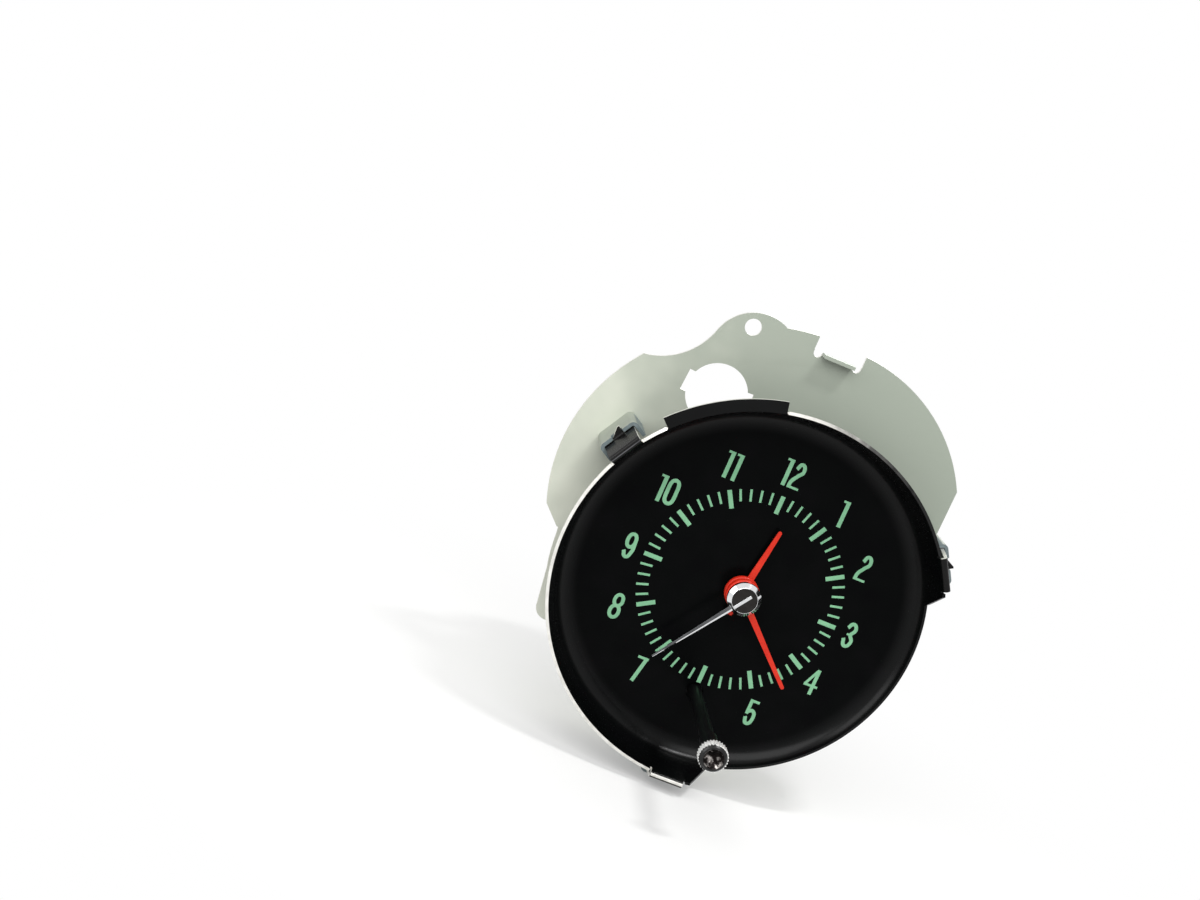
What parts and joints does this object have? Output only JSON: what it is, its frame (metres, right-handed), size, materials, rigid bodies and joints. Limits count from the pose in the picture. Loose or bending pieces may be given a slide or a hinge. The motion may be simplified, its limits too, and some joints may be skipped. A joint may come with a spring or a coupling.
{
  "type": "car dashboard clock",
  "caption": "Round dashboard clock with a dished black dial, red hands, chrome second hand, long setting stem and eared plated mounting plate, over a geared quartz movement in a drawn cover.",
  "frame": {"origin": "on the axis of the hands, in the front face of the mounting plate", "axes": "-Y towards the viewer of the dial, +Z to 12 o'clock, +X to 3 o'clock"},
  "size_m": [0.1043, 0.0887, 0.1203],
  "materials": {
    "black_enamel": "satin stove enamel",
    "zinc_steel": "zinc plated, pale green chromate",
    "red_paint": "satin red paint",
    "chrome": "bright chrome plate",
    "nickel": "nickel plated, knurled",
    "stem_black": "moulded black",
    "brass": "cut and brushed",
    "steel": "bright turned steel",
    "spring_steel": "oil tempered",
    "magnet": "sintered ferrite",
    "nylon": "moulded natural nylon",
    "copper_wire": "enamelled copper wire",
    "board": "green solder mask",
    "crystal_can": "drawn can",
    "chip": "moulded epoxy",
    "capacitor_sleeve": "shrunk sleeve",
    "bush": "moulded phenolic"
  },
  "bodies": {
    "case": {"dial_dish": "black_enamel", "mounting_plate": "zinc_steel", "dial_spacers": "steel", "set_bridge": "zinc_steel", "bridge_screws": "steel", "stem_spring": "spring_steel", "front_plate": "brass", "motion_studs": "steel", "rear_plate": "brass", "pillars": "brass", "movement_screws": "steel", "board_screws": "steel", "board_spacers": "nylon", "stator": "steel", "coil_core": "steel", "coil_bobbin": "nylon", "coil_winding": "copper_wire", "stator_posts": "steel", "stator_screws": "steel", "circuit_board": "board", "quartz_crystal": "crystal_can", "timing_chip": "chip", "capacitor": "capacitor_sleeve", "power_terminal": "brass", "terminal_bush": "bush", "rear_cover": "zinc_steel", "cover_screws": "steel"},
    "seconds": {"second_hand": "chrome", "second_wheel": "brass"},
    "minutes": {"minute_hand": "red_paint", "cannon_pinion": "brass", "centre_wheel": "brass", "clutch_spring": "spring_steel"},
    "hours": {"hour_hand": "red_paint", "hour_wheel": "brass"},
    "third": {"third_wheel": "brass"},
    "intermediate": {"intermediate_wheel": "brass"},
    "rotor": {"rotor_pinion": "nylon", "rotor_magnet": "magnet"},
    "motion": {"minute_wheel": "brass"},
    "idler": {"set_idler": "brass"},
    "setter": {"set_wheel": "brass"},
    "stem_slide": {"spring_cup": "steel"},
    "stem": {"set_stem": "stem_black", "set_knob": "nickel", "clutch_disc": "steel", "stem_clip": "spring_steel"}
  },
  "joints": [
    {"name": "second_turn", "type": "hinge", "parent": "case", "child": "seconds", "pos_m": [0, 0, 0], "axis": [0, 1, 0], "continuous": true},
    {"name": "minute_turn", "type": "hinge", "parent": "case", "child": "minutes", "pos_m": [0, 0, 0], "axis": [0, 1, 0], "continuous": true},
    {"name": "hour_turn", "type": "hinge", "parent": "case", "child": "hours", "pos_m": [0, 0, 0], "axis": [0, 1, 0], "continuous": true},
    {"name": "third_turn", "type": "hinge", "parent": "case", "child": "third", "pos_m": [0.01247, 0, 0.0072], "axis": [0, 1, 0], "continuous": true},
    {"name": "intermediate_turn", "type": "hinge", "parent": "case", "child": "intermediate", "pos_m": [-0.01418, 0, -0.0025], "axis": [0, 1, 0], "continuous": true},
    {"name": "rotor_turn", "type": "hinge", "parent": "case", "child": "rotor", "pos_m": [-0.01908, 0, -0.01099], "axis": [0, 1, 0], "continuous": true},
    {"name": "motion_turn", "type": "hinge", "parent": "case", "child": "motion", "pos_m": [0, 0, -0.01], "axis": [0, 1, 0], "continuous": true},
    {"name": "idler_turn", "type": "hinge", "parent": "case", "child": "idler", "pos_m": [0, 0, -0.02167], "axis": [0, 1, 0], "continuous": true},
    {"name": "setter_turn", "type": "hinge", "parent": "case", "child": "setter", "pos_m": [0, 0, -0.02917], "axis": [0, 1, 0], "continuous": true},
    {"name": "stem_pull", "type": "slide", "parent": "case", "child": "stem_slide", "axis": [0, -1, 0], "range_m": [0, 0.0015], "stiffness_N_per_m": 300, "springref_m": -0.004, "deforming": ["stem_spring"]},
    {"name": "stem_turn", "type": "hinge", "parent": "stem_slide", "child": "stem", "pos_m": [0, 0, -0.02917], "axis": [0, 1, 0], "continuous": true}
  ],
  "couplings": [
    {"joint": "minute_turn", "follows": "second_turn", "ratio": 0.016667},
    {"joint": "hour_turn", "follows": "second_turn", "ratio": 0.0013889},
    {"joint": "third_turn", "follows": "second_turn", "ratio": -0.13333},
    {"joint": "intermediate_turn", "follows": "second_turn", "ratio": -5},
    {"joint": "rotor_turn", "follows": "second_turn", "ratio": 30},
    {"joint": "motion_turn", "follows": "second_turn", "ratio": -0.0055556},
    {"joint": "idler_turn", "follows": "second_turn", "ratio": 0.01},
    {"joint": "setter_turn", "follows": "second_turn", "ratio": -0.0125}
  ]
}
